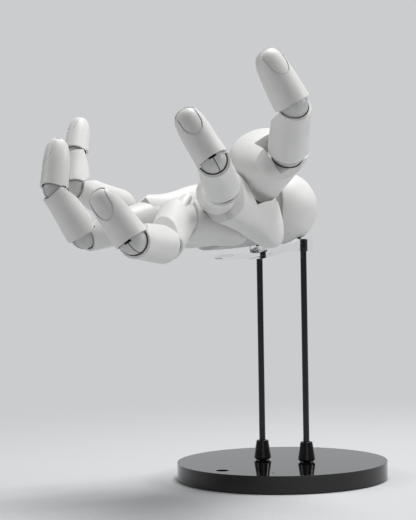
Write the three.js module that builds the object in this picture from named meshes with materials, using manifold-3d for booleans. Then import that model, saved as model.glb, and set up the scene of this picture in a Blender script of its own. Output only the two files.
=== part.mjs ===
// Posable left hand, life size, palm up on a two-rod stand.
// Millimetres, +Z up. The origin is the centre of the base's underside.
// The rods stand in line along X and the fingers point towards -Y.
// The hand's own frame has x to the little finger, y to the fingertips and z out of the palm.

import * as THREE from "three";
import { mergeVertices } from "three/addons/utils/BufferGeometryUtils.js";
import Module from "manifold-3d";

const wasm = await Module();
wasm.setup();

// Stand
const BASE_RADIUS = 60;
const BASE_HEIGHT = 9.5;
const BASE_WALL = 2.4;
const PAD_THICKNESS = 1;
const BALLAST_CLEARANCE = 3.6;
const BALLAST_RADIUS = BASE_RADIUS - BASE_WALL - BALLAST_CLEARANCE;
const BALLAST_HEIGHT = 5.2;
const ROD_RADIUS = 1.75;
const ROD_X = [-11.9, 15];
const ROD_TOP = 136;
const ROD_SEAT = 1.5;
const SOCKET_RADII = [5, 3.4];
const SOCKET_HEIGHT = 11;
const SPARE_HOLE = [-16.8, -47];
const SPARE_HOLE_RADIUS = 3.5;

// Side of the cube that cuts away everything beyond a plane, longer than any piece
const CUTTER = 160;

// Clearances
const FIT = 0.35;
const SOCKET_GAP = 0.65;

// Where the hand sits on its stand
const WRIST = [1.7, -0.4, 154];
const HAND_TURN = 164.9;
const ARM_PITCH = 11;
const HAND_ROLL = 13.1;

// Clear cradle: its depth each side, the heights of its block, and the outline of its arm
const CRADLE_DEPTH = 6;
const CRADLE_HEIGHTS = [129, 137];
const CRADLE_ARM = [[0, 129], [24, 125], [50, 125], [52, 126.1], [48, 127.7], [26, 128.4], [6, 134]];

// Knuckles
const SHELL_WALL = 1.6;
const TONGUE = { width: 3.2, radius: 2.3, back: 0.9, pin: 1 };
const STEM_RADIUS = 2.4;
const STEM_LENGTH = 7;
const SWIVEL_STEM_RADIUS = 1.7;
const SWIVEL_HEAD_RADIUS = 3.1;
const SWIVEL_HEAD_LENGTH = 2.4;
const SWIVEL_WALL = 2.2;
const SPREAD_LIMIT = 22;
const BACK_ROOM = 4;
const APEX_GAP = 0.3;

// How far each rim is cut back from square, behind and in front of the pivot. A bone's far rim
// is a roof over the knuckle, and its near rim is nearly square.
const FAR_CUT = { dorsal: 14, palmar: 58 };
const NEAR_CUT = {
  mcp: { dorsal: 26, palmar: 36 },
  pip: { dorsal: 3, palmar: 42 },
  dip: { dorsal: 20, palmar: 14 },
  thumb: { dorsal: 3, palmar: 14 },
};
// The bend that the slots of the knuckles leave room for
const BEND = { mcp: [-34, 92], cmc: [10, 45], pip: [-6, 97], dip: [-6, 69], thumb: [-6, 46] };

// Fingers: where the first knuckle is in the hand, the lengths between pivots and to the tip,
// the half widths at the three knuckles and near the tip, and the angles of the pose.
const FINGERS = {
  index: {
    at: [-23.1, 86.1, 1], lengths: [45.1, 27.1, 27.4], radii: [9.7, 9.1, 8, 7.2],
    facing: 20, roll: 20.4, spread: 20, flex: [-11.3, 24.2, 62.8],
  },
  middle: {
    at: [-3.7, 94.5, -3.4], lengths: [45, 31.7, 29], radii: [9.6, 9.4, 8.5, 7.2],
    facing: 3, roll: 18.6, spread: 11.9, flex: [-29.6, 28.4, 65.9],
    spur: [[0.2, -12.8, -6, 3.4, 9.4], [5, -11, -5, 2.5, 9.5], [11, -9, -4, 2, 8]],
  },
  ring: {
    at: [21, 84.1, 0.3], lengths: [46.7, 28.2, 27.5], radii: [9.6, 8.6, 7.4, 6.6],
    facing: -10, roll: -1.1, spread: -5.7, flex: [-4, 69.2, 40.9],
  },
  little: {
    at: [44, 79.4, 11.6], lengths: [36.9, 20.2, 22.9], radii: [8.6, 7.6, 6.7, 5.9],
    facing: -16, roll: 5.8, spread: 12.4, flex: [24.3, 85.6, 4.5],
  },
};

// Thumb: its metacarpal, two bones and pivots, in the same terms
const THUMB = {
  at: [-12.6, 29.9, 6.8], lengths: [44.9, 32.4, 30.8], radii: [8, 10.6, 9.6, 8],
  facing: 65.4, roll: 21.4, spread: 0, flex: [16, 19.8, 47.3],
};

// Wrist
const DOME_RADIUS = 21;
const DOME_MOUTH = 7;
const MOUTH_CUTTER = 40;
const DOME_TURN = -30.7;
const DOME_WALL = 2.2;
const WRIST_GAP = 1.1;
const WRIST_TONGUE = { width: 7, radius: 4.6, back: 4.6, pin: 1.8 };
const WRIST_BEND = [-28, 28];
const PALM_CLEAR_RADIUS = DOME_RADIUS + 0.9;
const WRIST_SWING = -3;
const WRIST_FLEX = -13;

// Palm: the hinge of the last two hand bones, its lugs on the core and their pins
const CARPAL_HINGE = [0, 52, -5];
const LUGS = { ring: [12.5, 16.5], little: [25.5, 29.5] };
const LUG_RADIUS = 3.2;
const LUG_PIN = 1.4;
const LUG_PIN_REACH = 2.6;
const LUG_BORE_END = 60;
const LUG_ROOM = 1.1;
const LUG_REACH = 12;

// Sections through the casings of the hand bones, [y, x from, x to, z from, z to]
const CORE = [[20, -7.8, 14, -19, 1], [28, -7.8, 22, -19, 1], [44, -7.8, 33, -17, 1]];
const CASINGS = {
  index: [
    [23, -18.5, -8.2, -20, 3], [31, -23, -8.2, -26, 4], [42, -26.5, -8.4, -27, 4.5],
    [53, -30, -9.4, -22, 8], [68, -33, -11.6, -16, 15], [88, -34, -13.4, -11, 14],
  ],
  middle: [[44.6, -8.1, 8, -20, 1], [62, -10.6, 8.9, -19.5, 6], [96, -12.5, 9.7, -16.5, 8.5]],
  ring: [[47.5, 8.4, 20.6, -16, 0], [62, 9.3, 25, -16.5, 6], [88, 10.1, 31, -14, 9]],
  little: [
    [35, 22, 37, 5, 22.5], [46, 21.5, 37, 5, 21], [47.5, 21, 36.5, -13, 20.5],
    [62, 25.4, 42, -8, 17], [84, 31.6, 53.5, -1, 21],
  ],
};

// Thumb's saddle in the thumb's frame, the room for it in the casing, how far its front is cut
// back, and the box that the thumb sweeps, tilted by the lowest angle of the thumb
const SADDLE = [[-15.6, -8, 8, -7, 8], [-9, -9.2, 9.2, -8.6, 9], [0, -9.2, 9.2, -8.6, 9]];
const SADDLE_ROOM = SADDLE.map(([y, left, right, low, high]) => [
  y - FIT, left - FIT, right + FIT, low - FIT, high + FIT,
]);
const SADDLE_CUT = 32;
const THUMB_ROOF = 36;
const CHANNEL_ROOM = 1.4;
const THUMB_SWEEP = [[-15, -2, -9.8], [27, 60, 60]];
const THUMB_LOW = 12;

// The thumb's hand bone with the ball of the thumb, in the thumb's frame
const THUMB_CASING = [
  [0, -7.4, 7.6, -7.6, 7.6], [9, -8, 12, -8.4, 13], [20, -9.6, 19, -10, 19],
  [29, -11.2, 25, -11, 22.5], [35, -12, 26, -11.4, 21.5], [41, -12.6, 24.5, -11.6, 16],
  [46, -12.6, 21, -11.4, 9], [49, -10, 16, -9, 4],
];

// Colours, as the photo shows them
const WHITE = { color: 0xe4e4e2, roughness: 0.5, metalness: 0 };
const GREY = { color: 0xc4c4c2, roughness: 0.5, metalness: 0 };
const BLACK = { color: 0x0b0b0c, roughness: 0.12, metalness: 0 };
const STEEL = { color: 0x8d8f92, roughness: 0.35, metalness: 1 };
const CLEAR = { color: 0xe9eef0, roughness: 0.05, metalness: 0, transparent: true, opacity: 0.35 };

const X = new THREE.Vector3(1, 0, 0);
const Y = new THREE.Vector3(0, 1, 0);
const Z = new THREE.Vector3(0, 0, 1);
const degrees = THREE.MathUtils.degToRad;

// A closed geometry as a solid that can be joined and cut.
function solid(geometry) {
  const bare = geometry.clone();
  bare.deleteAttribute("normal");
  bare.deleteAttribute("uv");
  const merged = mergeVertices(bare, 1e-4);
  const mesh = new wasm.Mesh({
    numProp: 3,
    vertProperties: new Float32Array(merged.attributes.position.array),
    triVerts: new Uint32Array(merged.index.array),
  });
  return new wasm.Manifold(mesh);
}

function geometryOf(body) {
  const mesh = body.getMesh();
  const geometry = new THREE.BufferGeometry();
  geometry.setAttribute("position", new THREE.BufferAttribute(mesh.vertProperties, 3));
  geometry.setIndex(new THREE.BufferAttribute(mesh.triVerts, 1));
  const faceted = geometry.toNonIndexed();
  faceted.computeVertexNormals();
  return faceted;
}

function ball(radius, at = [0, 0, 0], around = 12, rings = 7) {
  const sphere = new THREE.SphereGeometry(radius, around, rings);
  return solid(sphere.rotateZ(Math.PI / 2).translate(...at));
}

// A block between two corners.
function block(low, high) {
  const size = high.map((value, i) => value - low[i]);
  const middle = high.map((value, i) => (value + low[i]) / 2);
  return solid(new THREE.BoxGeometry(...size).translate(...middle));
}

// A round bar between two distances along an axis, through a point.
function bar(radius, from, to, axis = Y, at = [0, 0, 0], sides = 10) {
  const cylinder = new THREE.CylinderGeometry(radius, radius, to - from, sides);
  cylinder.translate(0, (from + to) / 2, 0);
  cylinder.applyQuaternion(new THREE.Quaternion().setFromUnitVectors(Y, axis));
  return solid(cylinder.translate(...at));
}

// An outline in the plane of two axes, made thick along the third.
function plate(points, thickness, across, up, out) {
  const outline = new THREE.Shape(points.map(([x, y]) => new THREE.Vector2(x, y)));
  const geometry = new THREE.ExtrudeGeometry(outline, { depth: thickness, bevelEnabled: false });
  geometry.translate(0, 0, -thickness / 2);
  return solid(geometry.applyMatrix4(new THREE.Matrix4().makeBasis(across, up, out)));
}

// A body through rounded sections along y. Each section is [y, x from, x to, z from, z to].
function loft(sections, roundness = 2.4, sides = 14) {
  const points = [];
  for (const [y, left, right, low, high] of sections) {
    for (let i = 0; i < sides; i += 1) {
      const angle = (2 * Math.PI * i) / sides;
      const across = Math.sign(Math.cos(angle)) * Math.abs(Math.cos(angle)) ** (2 / roundness);
      const up = Math.sign(Math.sin(angle)) * Math.abs(Math.sin(angle)) ** (2 / roundness);
      points.push((left + right + (right - left) * across) / 2, y);
      points.push((low + high + (high - low) * up) / 2);
    }
  }
  const ends = [sections[0], sections[sections.length - 1]];
  for (const [y, left, right, low, high] of ends) {
    points.push((left + right) / 2, y, (low + high) / 2);
  }
  const first = sections.length * sides;
  const lastRing = first - sides;
  const faces = [];
  for (let i = 0; i < sides; i += 1) {
    const next = (i + 1) % sides;
    for (let ring = 0; ring < lastRing; ring += sides) {
      faces.push(ring + i, ring + sides + i, ring + next);
      faces.push(ring + next, ring + sides + i, ring + sides + next);
    }
    faces.push(first, i, next);
    faces.push(first + 1, lastRing + next, lastRing + i);
  }
  const geometry = new THREE.BufferGeometry();
  geometry.setAttribute("position", new THREE.Float32BufferAttribute(points, 3));
  geometry.setIndex(faces);
  return solid(geometry);
}

// Everything beyond a plane through a point, on the side that the angle about an axis faces.
function beyond(angle, at, axis = X) {
  const cube = new THREE.BoxGeometry(CUTTER, CUTTER, CUTTER).translate(0, CUTTER / 2, 0);
  cube.applyQuaternion(new THREE.Quaternion().setFromAxisAngle(axis, degrees(angle)));
  return solid(cube.translate(...at));
}

// A fan of space about the origin between two angles, wider by an offset along each edge.
function fan(lowOffset, highOffset, reach, fromAngle, toAngle) {
  const points = [];
  const add = (radius, angle, offset) => {
    const a = degrees(angle);
    points.push([
      radius * Math.cos(a) - offset * Math.sin(a),
      radius * Math.sin(a) + offset * Math.cos(a),
    ]);
  };
  const half = Math.max(0.5, Math.cos(degrees((toAngle - fromAngle) / 2)));
  add(0, fromAngle, -lowOffset);
  add(reach, fromAngle, -lowOffset);
  add(reach / half, (fromAngle + toAngle) / 2, 0);
  add(reach, toAngle, highOffset);
  add(0, toAngle, highOffset);
  return points;
}

const knuckleRadius = (halfWidth) => halfWidth - SHELL_WALL;
const socketRadius = (halfWidth) => knuckleRadius(halfWidth) + SOCKET_GAP;

// How deep a knuckle's stem goes into a bone that has a socket at both ends.
function stemLength(length, nearHalfWidth, farHalfWidth) {
  const middle = length - socketRadius(nearHalfWidth) - socketRadius(farHalfWidth);
  return Math.min(STEM_LENGTH, middle / 2);
}

// A ball with a slot for the next bone's tongue
function slottedBall(body, radius, tongue, [low, high]) {
  const slotWidth = tongue.width + 2 * FIT;
  const slot = fan(tongue.back + FIT, tongue.radius + FIT, 1.3 * radius, low - 2, high + 2);
  return body
    .subtract(plate(slot, slotWidth, Y, Z, X))
    .subtract(bar(tongue.radius + FIT, -slotWidth / 2, slotWidth / 2, X, [0, 0, 0], 10));
}

// A knuckle: a slotted ball with a blind bore for its pin
function knuckleBall(radius, tongue, limits) {
  return slottedBall(ball(radius), radius, tongue, limits)
    .subtract(bar(tongue.pin + FIT, 1.2 - radius, radius - 1.2, X, [0, 0, 0], 6));
}

function hingeKnuckle(halfWidth, stem, bend) {
  const inner = knuckleRadius(halfWidth);
  return knuckleBall(inner, TONGUE, bend).add(bar(STEM_RADIUS, -inner - stem + 0.3, 1 - inner, Y));
}

// The first knuckles also swing sideways: their stem ends in a head held in a chamber.
function swivelKnuckle(halfWidth, bend) {
  const inner = knuckleRadius(halfWidth);
  const body = knuckleBall(inner, TONGUE, bend);
  const seat = socketRadius(halfWidth) + SWIVEL_WALL + FIT;
  return body
    .add(bar(SWIVEL_STEM_RADIUS, -seat - 1, 1 - inner, Y))
    .add(bar(SWIVEL_HEAD_RADIUS, -seat - SWIVEL_HEAD_LENGTH, -seat, Y));
}

// The space that a swivel knuckle needs in the bone behind it.
function swivelSpace(halfWidth) {
  const socket = socketRadius(halfWidth);
  const swing = SPREAD_LIMIT + 2;
  const side = SWIVEL_STEM_RADIUS + FIT;
  const slot = fan(side, side, socket + SWIVEL_WALL + 1, 270 - swing, 270 + swing);
  const chamberNear = socket + SWIVEL_WALL;
  const chamberFar = chamberNear + SWIVEL_HEAD_LENGTH + 4 * FIT;
  const wide = swing + 18;
  const sides = [-1, -0.5, 0, 0.5, 1];
  const chamber = sides.map((side) => polar(chamberNear, 270 + side * wide));
  chamber.push(...sides.map((side) => polar(chamberFar, 270 - side * wide)));
  return ball(socket)
    .add(plate(slot, 2 * side, X, Y, Z))
    .add(plate(chamber, 2 * (SWIVEL_HEAD_RADIUS + FIT), X, Y, Z));
}

function polar(radius, angle) {
  return [radius * Math.cos(degrees(angle)), radius * Math.sin(degrees(angle))];
}

function pin(halfWidth, radius = TONGUE.pin) {
  const half = knuckleRadius(halfWidth) - 1.6;
  return bar(radius, -half, half, X, [0, 0, 0], 6);
}

// The outline of a flat tongue from its root to the round end about the origin
function tongueOutline(root, radius, back) {
  const sweep = 90 + THREE.MathUtils.radToDeg(Math.asin(back / radius));
  const steps = [0, 1, 2, 3, 4, 5, 6];
  return [[root, -back], [root, radius], ...steps.map((i) => polar(radius, 90 + (sweep * i) / 6))];
}

// A tongue from a bone's socket to the pivot that it turns on, with its pin hole
function tongueBody({ width, radius, back, pin: pinRadius }, root) {
  return plate(tongueOutline(root, radius, back), width, Y, Z, X)
    .subtract(bar(pinRadius + FIT, -width, width, X, [0, 0, 0], 6));
}

// Cuts a bone's near end clear of the bone before it, as the two fold about the origin.
function nearRoof(body, cut) {
  const apex = [0, APEX_GAP, 0];
  return body.subtract(beyond(180 - cut.palmar, apex)).subtract(beyond(180 + cut.dorsal, apex));
}

function farRoof(body, length) {
  const apex = [0, length - APEX_GAP, 0];
  return body.subtract(beyond(FAR_CUT.palmar, apex)).subtract(beyond(-FAR_CUT.dorsal, apex));
}

// A finger bone between two pivots, hollowed for both knuckles. A first bone also has a flange
// on its palm side, at the root, and may have a spur beside it.
function bone(length, near, far, cut, flange = 0, spur = null) {
  const sections = [
    [0, -near, near, -near, near + flange],
    [0.28 * length, -near * 0.97, near * 0.97, -near * 0.96, near + flange * 0.55],
    [0.62 * length, -far * 1.02, far * 1.02, -far, far * 1.04],
    [length, -far, far, -far, far],
  ];
  const boreEnd = length - knuckleRadius(far) - stemLength(length, near, far) - FIT;
  const hollow = loft(sections, 2.2)
    .subtract(ball(socketRadius(near)))
    .subtract(ball(socketRadius(far), [0, length, 0]))
    .subtract(bar(STEM_RADIUS + FIT, boreEnd, length, Y));
  const roofed = farRoof(nearRoof(hollow, cut), length);
  const body = roofed.add(tongueBody(TONGUE, socketRadius(near) + 0.8));
  return spur ? body.add(loft(spur, 1.4, 12).subtract(ball(socketRadius(near)))) : body;
}

// A last finger bone, from its pivot to the rounded tip, with its pad on the palm side
function fingertip(length, near, tip, cut) {
  const sections = [
    [0, -near, near, -near, near],
    [0.3 * length, -near * 0.96, near * 0.96, -near * 0.9, near * 0.98],
    [0.55 * length, -tip * 1.06, tip * 1.06, -tip * 0.98, tip * 1.12],
    [0.78 * length, -tip * 0.97, tip * 0.97, -tip * 0.86, tip * 1.02],
    [0.9 * length, -tip * 0.78, tip * 0.78, -tip * 0.68, tip * 0.78],
    [0.97 * length, -tip * 0.48, tip * 0.48, -tip * 0.4, tip * 0.46],
    [length, -tip * 0.16, tip * 0.16, -tip * 0.12, tip * 0.16],
  ];
  const hollow = nearRoof(loft(sections, 2.15).subtract(ball(socketRadius(near))), cut);
  return hollow.add(tongueBody(TONGUE, socketRadius(near) + 0.8));
}

function mesh(name, body, look, parent) {
  const made = new THREE.Mesh(geometryOf(body), new THREE.MeshStandardMaterial(look));
  made.name = name;
  parent.add(made);
  return made;
}

// A group at a pivot, turned about its own axes in turn.
function pivot(name, parent, at, turns = []) {
  const group = new THREE.Group();
  group.name = name;
  group.position.set(...at);
  for (const [axis, angle] of turns) group.rotateOnAxis(axis, degrees(angle));
  parent.add(group);
  return group;
}

// The frame of a swivel knuckle in the hand, at rest
function headFrame(finger) {
  const group = pivot("", new THREE.Group(), finger.at, [[Z, finger.facing], [Y, finger.roll]]);
  group.updateMatrix();
  return group.matrix.elements;
}

// The space in front of a swivel knuckle that the next bone swings through
function frontSpace(palmar) {
  const swing = SPREAD_LIMIT + 3;
  const apex = [0, -APEX_GAP, 0];
  const planes = [[swing, Z], [-swing, Z], [palmar, X], [-BACK_ROOM, X]];
  return planes
    .map(([angle, axis]) => beyond(angle, apex, axis))
    .reduce((space, part) => space.add(part));
}

const model = new THREE.Group();
model.name = "posable_hand";

// Stand: a gloss black disc with a steel weight inside, a pad below and two rods in sockets
function buildStand() {
  const ceiling = PAD_THICKNESS + BALLAST_HEIGHT + 2 * FIT;
  const spare = (radius, sides) => bar(radius, -1, BASE_HEIGHT + 1, Z, [...SPARE_HOLE, 0], sides);
  const rodFoot = BASE_HEIGHT - ROD_SEAT;
  const rodHole = (x) => bar(ROD_RADIUS + FIT, rodFoot - FIT, BASE_HEIGHT + 1, Z, [x, 0, 0], 12);
  const disc = bar(BASE_RADIUS, 0, BASE_HEIGHT, Z, [0, 0, 0], 64)
    .subtract(bar(BASE_RADIUS - BASE_WALL, -1, ceiling, Z, [0, 0, 0], 48))
    .subtract(spare(SPARE_HOLE_RADIUS, 14));
  const weight = bar(BALLAST_RADIUS, PAD_THICKNESS + FIT, ceiling - FIT, Z, [0, 0, 0], 40)
    .subtract(spare(SPARE_HOLE_RADIUS + 1, 12));
  const padRadius = BASE_RADIUS - BASE_WALL - FIT;
  mesh("base_disc", ROD_X.reduce((body, x) => body.subtract(rodHole(x)), disc), BLACK, model);
  mesh("base_weight", weight, STEEL, model);
  mesh("base_pad", bar(padRadius, 0, PAD_THICKNESS, Z, [0, 0, 0], 48), BLACK, model);
  ROD_X.forEach((x, i) => {
    const side = ["far", "near"][i];
    mesh(`${side}_rod`, bar(ROD_RADIUS, rodFoot, ROD_TOP, Z, [x, 0, 0], 12), BLACK, model);
    const cone = new THREE.CylinderGeometry(SOCKET_RADII[1], SOCKET_RADII[0], SOCKET_HEIGHT, 20);
    cone.rotateX(Math.PI / 2).translate(x, 0, BASE_HEIGHT + FIT + SOCKET_HEIGHT / 2);
    const hole = bar(ROD_RADIUS + FIT, 0, ROD_TOP, Z, [x, 0, 0], 12);
    mesh(`${side}_rod_socket`, solid(cone).subtract(hole), BLACK, model);
  });
}

// Cradle: a clear block dished for the wrist dome, on the rods, with an arm under the palm
function buildCradle() {
  const [low, top] = CRADLE_HEIGHTS;
  const reach = ROD_RADIUS + 1.8;
  const head = block([ROD_X[0] - reach, -CRADLE_DEPTH, low], [ROD_X[1] + reach, CRADLE_DEPTH, top]);
  const arm = plate(CRADLE_ARM, 2 * CRADLE_DEPTH, Y, Z, X);
  const turned = new THREE.Matrix4().makeRotationZ(degrees(HAND_TURN));
  const holes = ROD_X.map((x) => bar(ROD_RADIUS + FIT, 0, ROD_TOP + FIT, Z, [x, 0, 0], 12));
  const body = head.add(arm.transform(turned.elements)).subtract(ball(DOME_RADIUS + 2 * FIT, WRIST, 20, 12));
  mesh("clear_cradle", holes.reduce((rest, hole) => rest.subtract(hole), body), CLEAR, model);
}

// Wrist: a hollow dome open towards the hand, fixed on the cradle, with a ball inside it. The
// palm's tongue turns on a pin across the ball's slot.
function buildWrist() {
  const turns = [[Z, HAND_TURN], [X, ARM_PITCH], [Y, HAND_ROLL]];
  const arm = pivot("wrist_dome_frame", model, WRIST, turns);
  const inside = DOME_RADIUS - DOME_WALL;
  const side = MOUTH_CUTTER;
  const dome = ball(DOME_RADIUS, [0, 0, 0], 24, 14)
    .subtract(ball(inside, [0, 0, 0], 18, 10))
    .subtract(block([-side, DOME_MOUTH, -side], [side, 1.5 * side, side]));
  mesh("wrist_dome", dome.rotate([0, 0, DOME_TURN]), WHITE, arm);
  const swing = pivot("wrist_swing", arm, [0, 0, 0], [[Z, WRIST_SWING]]);
  const radius = inside - WRIST_GAP;
  const pinHalf = WRIST_TONGUE.width / 2 + 2;
  const turning = slottedBall(ball(radius, [0, 0, 0], 18, 10), radius, WRIST_TONGUE, WRIST_BEND)
    .add(bar(WRIST_TONGUE.pin, -pinHalf, pinHalf, X, [0, 0, 0], 10));
  mesh("wrist_ball", turning, GREY, swing);
  return pivot("wrist_flex", swing, [0, 0, 0], [[X, WRIST_FLEX]]);
}

// The lug of the palm core that a hinged hand bone turns on, or the space that the lug needs
function lug([left, right], room = 0) {
  const radius = LUG_RADIUS + room;
  const [, y, z] = CARPAL_HINGE;
  return plate(tongueOutline(LUG_REACH, radius, radius), right - left + 2 * room, Y, Z, X)
    .rotate([0, 0, 180])
    .translate([(left + right) / 2, y, z]);
}

// Palm: a grey core with the wrist's tongue, the thumb's saddle and two lugs with pins; a white
// casing for each hand bone. The last two casings turn on the lugs, which cups the hand.
function buildPalm(palm) {
  const clear = ball(PALM_CLEAR_RADIUS, [0, 0, 0], 20, 12);
  const rooted = (body) => body.transform(headFrame(THUMB));
  const thumbSocket = rooted(swivelSpace(THUMB.radii[0]));
  const sweep = rooted(block(...THUMB_SWEEP).rotate([THUMB_LOW, 0, 0]));
  const lugs = Object.values(LUGS);
  const pins = lugs.map(([left, right]) => {
    return bar(LUG_PIN, left - LUG_PIN_REACH, right + LUG_PIN_REACH, X, CARPAL_HINGE, 8);
  });
  const core = lugs
    .reduce((body, at) => body.add(lug(at)), loft(CORE, 5, 16))
    .subtract(sweep)
    .add(rooted(loft(SADDLE, 3, 16).subtract(frontSpace(SADDLE_CUT))))
    .subtract(clear)
    .add(tongueBody(WRIST_TONGUE, PALM_CLEAR_RADIUS + 4))
    .subtract(thumbSocket);
  mesh("palm_core", pins.reduce((body, part) => body.add(part), core), GREY, palm);

  const casing = (name) => loft(CASINGS[name], 2.8, 18)
    .subtract(swivelSpace(FINGERS[name].radii[0]).add(frontSpace(FAR_CUT.palmar))
      .transform(headFrame(FINGERS[name])));
  const index = casing("index").subtract(clear).subtract(sweep).subtract(thumbSocket)
    .subtract(rooted(loft(SADDLE_ROOM, 3, 16)));
  mesh("index_metacarpal", index, WHITE, palm);
  mesh("middle_metacarpal", casing("middle"), WHITE, palm);
  const homes = { index: palm, middle: palm };
  for (const name of ["ring", "little"]) {
    const hinge = pivot(`${name}_cup`, palm, CARPAL_HINGE);
    homes[name] = pivot("", hinge, CARPAL_HINGE.map((value) => -value));
    const bore = bar(LUG_PIN + FIT, -LUG_PIN_REACH - 1, LUG_BORE_END, X, CARPAL_HINGE, 8);
    const hinged = casing(name).subtract(lug(LUGS[name], LUG_ROOM)).subtract(bore);
    mesh(`${name}_metacarpal`, hinged, WHITE, homes[name]);
  }
  return homes;
}

// A knuckle that only bends, in the far end of a bone, and the pivot of the bone after it
function addHinge(name, parent, boneLength, near, far, bend, angle) {
  const seat = pivot(`${name}`, parent, [0, boneLength, 0]);
  mesh(`${name}_knuckle`, hingeKnuckle(far, stemLength(boneLength, near, far), bend), GREY, seat);
  mesh(`${name}_pin`, pin(far), STEEL, seat);
  return pivot(`${name}_flex`, seat, [0, 0, 0], [[X, angle]]);
}

// A knuckle that swings sideways in the palm and bends, and the pivot of the bone after it
function addSwivel(name, digit, home, bend) {
  const head = pivot(`${name}_head`, home, digit.at, [[Z, digit.facing], [Y, digit.roll]]);
  const spread = pivot(`${name}_spread`, head, [0, 0, 0], [[Z, digit.spread]]);
  mesh(`${name}_knuckle`, swivelKnuckle(digit.radii[0], bend), GREY, spread);
  mesh(`${name}_pin`, pin(digit.radii[0]), STEEL, spread);
  return pivot(`${name}_flex`, spread, [0, 0, 0], [[X, digit.flex[0]]]);
}

function buildFinger(name, finger, home) {
  const { lengths: [first, second, third], radii: [mcp, pip, dip, tip], flex } = finger;
  const proximal = addSwivel(`${name}_mcp`, finger, home, BEND.mcp);
  const root = bone(first, mcp, pip, NEAR_CUT.mcp, 2.5, finger.spur);
  mesh(`${name}_proximal`, root, WHITE, proximal);
  const middle = addHinge(`${name}_pip`, proximal, first, mcp, pip, BEND.pip, flex[1]);
  mesh(`${name}_middle`, bone(second, pip, dip, NEAR_CUT.pip), WHITE, middle);
  const distal = addHinge(`${name}_dip`, middle, second, pip, dip, BEND.dip, flex[2]);
  mesh(`${name}_distal`, fingertip(third, dip, tip, NEAR_CUT.dip), WHITE, distal);
}

// The thumb's metacarpal carries the ball of the thumb, which a channel parts for the next bone.
function thumbMetacarpal(length, near, far) {
  const boreEnd = length - knuckleRadius(far) - STEM_LENGTH - FIT;
  const channel = block([-CUTTER, -CUTTER, 0], [far + CHANNEL_ROOM, CUTTER, CUTTER]);
  const apex = [0, length - APEX_GAP, 0];
  return nearRoof(loft(THUMB_CASING, 2.5).subtract(ball(socketRadius(near))), NEAR_CUT.mcp)
    .subtract(beyond(THUMB_ROOF, apex).intersect(channel))
    .subtract(beyond(-FAR_CUT.dorsal, apex))
    .subtract(ball(socketRadius(far), [0, length, 0]))
    .subtract(bar(STEM_RADIUS + FIT, boreEnd, length, Y))
    .add(tongueBody(TONGUE, socketRadius(near) + 0.8));
}

function buildThumb(home) {
  const { lengths: [first, second, third], radii: [cmc, mcp, ip, tip], flex } = THUMB;
  const metacarpal = addSwivel("thumb_cmc", THUMB, home, BEND.cmc);
  mesh("thumb_metacarpal", thumbMetacarpal(first, cmc, mcp), WHITE, metacarpal);
  const seat = pivot("thumb_mcp", metacarpal, [0, first, 0]);
  mesh("thumb_mcp_knuckle", hingeKnuckle(mcp, STEM_LENGTH, BEND.thumb), GREY, seat);
  mesh("thumb_mcp_pin", pin(mcp), STEEL, seat);
  const proximal = pivot("thumb_mcp_flex", seat, [0, 0, 0], [[X, flex[1]]]);
  mesh("thumb_proximal", bone(second, mcp, ip, NEAR_CUT.thumb), WHITE, proximal);
  const distal = addHinge("thumb_ip", proximal, second, mcp, ip, BEND.dip, flex[2]);
  mesh("thumb_distal", fingertip(third, ip, tip, NEAR_CUT.thumb), WHITE, distal);
}

buildStand();
buildCradle();
const palm = buildWrist();
const homes = buildPalm(palm);
for (const [name, finger] of Object.entries(FINGERS)) buildFinger(name, finger, homes[name]);
buildThumb(palm);

export default model;
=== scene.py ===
"""Posable left hand, life size, palm up on a two-rod stand.

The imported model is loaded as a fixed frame, and each of its visible solids is replaced by a
finely shaped piece. A piece is shaped in millimetres in the frame of its own joint, where x runs
across the finger, y to the fingertip and z out of the palm side, and is then put in its place.
"""

import logging
import math
from contextlib import contextmanager
from dataclasses import dataclass, field
from enum import Enum
from typing import Callable, Iterator, Sequence

import bmesh
import bpy
from mathutils import Matrix, Vector

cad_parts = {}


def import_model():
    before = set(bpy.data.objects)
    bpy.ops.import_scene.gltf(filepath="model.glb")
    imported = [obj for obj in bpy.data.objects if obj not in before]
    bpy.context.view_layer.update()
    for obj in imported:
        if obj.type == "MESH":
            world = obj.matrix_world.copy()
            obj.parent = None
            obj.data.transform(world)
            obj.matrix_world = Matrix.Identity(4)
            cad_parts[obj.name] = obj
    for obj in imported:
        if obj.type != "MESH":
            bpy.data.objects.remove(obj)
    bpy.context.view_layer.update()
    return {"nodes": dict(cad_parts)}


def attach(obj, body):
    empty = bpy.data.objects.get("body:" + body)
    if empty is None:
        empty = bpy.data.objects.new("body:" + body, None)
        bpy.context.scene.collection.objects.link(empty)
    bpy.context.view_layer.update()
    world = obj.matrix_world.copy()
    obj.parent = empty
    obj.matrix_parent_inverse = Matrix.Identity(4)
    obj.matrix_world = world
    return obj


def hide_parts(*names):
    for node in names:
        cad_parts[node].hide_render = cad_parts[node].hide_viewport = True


log = logging.getLogger("posable_hand")

MM = 0.001
# Parts that are cut from each other keep this clearance, in millimetres
FIT = 0.35
SOCKET_GAP = 0.65
SHELL_WALL = 1.6
# Rims are cut back from a line this far in front of the pivot
APEX_GAP = 0.3
# How far a body is drawn beyond the planes that trim it
OVERSHOOT = 4.0
# How far a cutter reaches to pass right through a bone
CUTTER = 40.0
# Stem of a knuckle in the bone behind it
STEM_RADIUS = 2.4
STEM_LENGTH = 7.0
# How deep a tongue's root is sunk in the wall of its bone
TONGUE_ROOT = 0.8
# A slot is cut this many radii deep from the ball's centre, and wider by this angle each way
SLOT_REACH = 1.3
SLOT_PLAY = 2.0
# Lean of the plane that clears a swivel knuckle's back, in degrees
BACK_ROOM = 4.0
# Edges sharper than this are shaded sharp, in degrees
SMOOTH_ANGLE = 33.0

Turn = tuple[str, float]
Span = tuple[float, float, float, float, float]


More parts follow.
